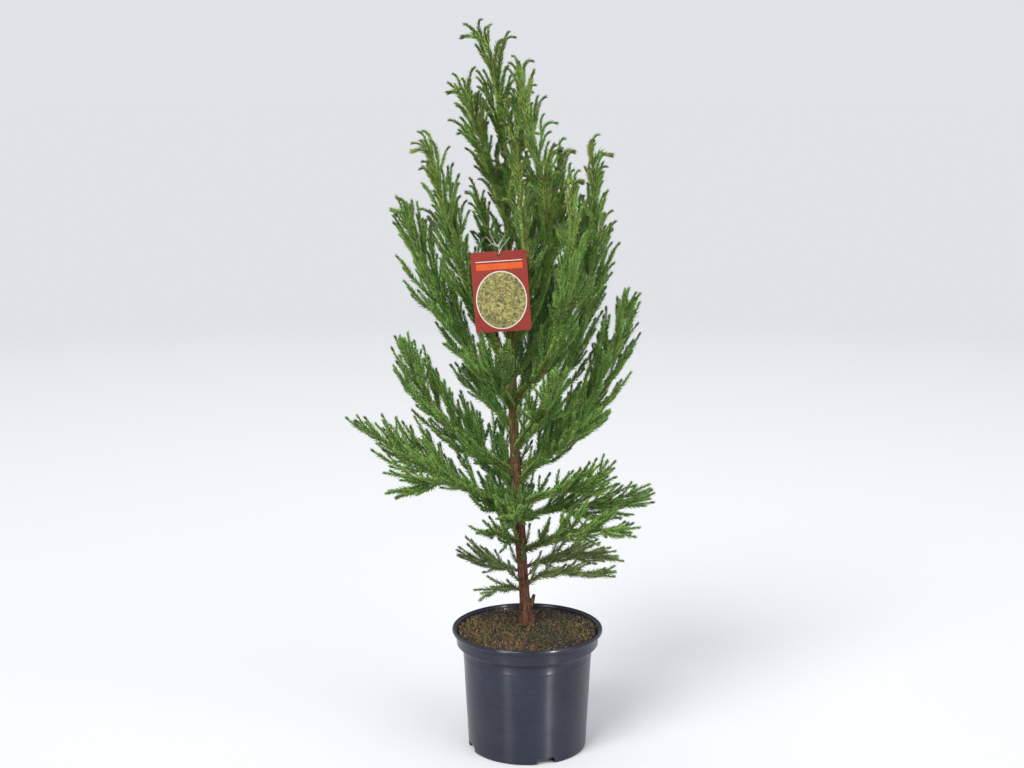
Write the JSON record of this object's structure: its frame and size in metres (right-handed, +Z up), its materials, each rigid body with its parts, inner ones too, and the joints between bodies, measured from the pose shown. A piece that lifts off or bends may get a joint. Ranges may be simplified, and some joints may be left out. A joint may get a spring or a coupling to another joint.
{
  "type": "potted japanese cedar",
  "caption": "Young Japanese cedar with upswept needled boughs on a leaning, tapering trunk, in a round nursery pot filled with soil, with a plain hang tag tied to its stem.",
  "frame": {"origin": "centre of the pot's flat underside, on the floor that it stands on", "axes": "+Z up along the pot's own axis, +X to the right in the pictured view, -Y towards the viewer of that side"},
  "size_m": [0.4511, 0.368, 1.047],
  "materials": {
    "pot": "dark slate blue-black moulded plastic with a soft sheen",
    "soil": "damp brown bark and peat mix with moss",
    "bark": "reddish-brown fibrous bark",
    "needles": "mid green living needles, paler at the shoot tips",
    "card": "printed card, brick red",
    "tie": "pale thin twisted tie"
  },
  "bodies": {
    "root": {"bough_back_low": "bark", "bough_back_low_left": "bark", "bough_back_low_right": "bark", "bough_back_mid": "bark", "bough_back_right_upper": "bark", "bough_front_left_mid": "bark", "bough_front_right_mid": "bark", "bough_left_inner": "bark", "bough_left_low": "bark", "bough_left_low_front": "bark", "bough_left_mid": "bark", "bough_left_outer": "bark", "bough_right_centre": "bark", "bough_right_fan": "bark", "bough_right_fan_front": "bark", "bough_right_fan_upper": "bark", "bough_right_lowest": "bark", "bough_right_mid": "bark", "bough_right_mid_low": "bark", "bough_right_top": "bark", "bough_second_leader": "bark", "foliage_back_left_mid": "needles", "foliage_back_left_upper": "needles", "foliage_back_low": "needles", "foliage_back_low_left": "needles", "foliage_back_low_right": "needles", "foliage_back_mid": "needles", "foliage_back_right_upper": "needles", "foliage_back_upper": "needles", "foliage_front_left_mid": "needles", "foliage_front_low": "needles", "foliage_front_right_mid": "needles", "foliage_front_upper": "needles", "foliage_leader": "needles", "foliage_leader_left": "needles", "foliage_leader_right": "needles", "foliage_left_bottom": "needles", "foliage_left_inner": "needles", "foliage_left_low": "needles", "foliage_left_low_front": "needles", "foliage_left_lowest": "needles", "foliage_left_mid": "needles", "foliage_left_outer": "needles", "foliage_left_short": "needles", "foliage_right_bottom": "needles", "foliage_right_centre": "needles", "foliage_right_fan": "needles", "foliage_right_fan_front": "needles", "foliage_right_fan_upper": "needles", "foliage_right_inner": "needles", "foliage_right_lowest": "needles", "foliage_right_mid": "needles", "foliage_right_mid_low": "needles", "foliage_right_top": "needles", "foliage_second_leader": "needles", "label_card": "card", "label_tie": "tie", "pot": "pot", "soil": "soil", "trunk": "bark"}
  },
  "joints": []
}
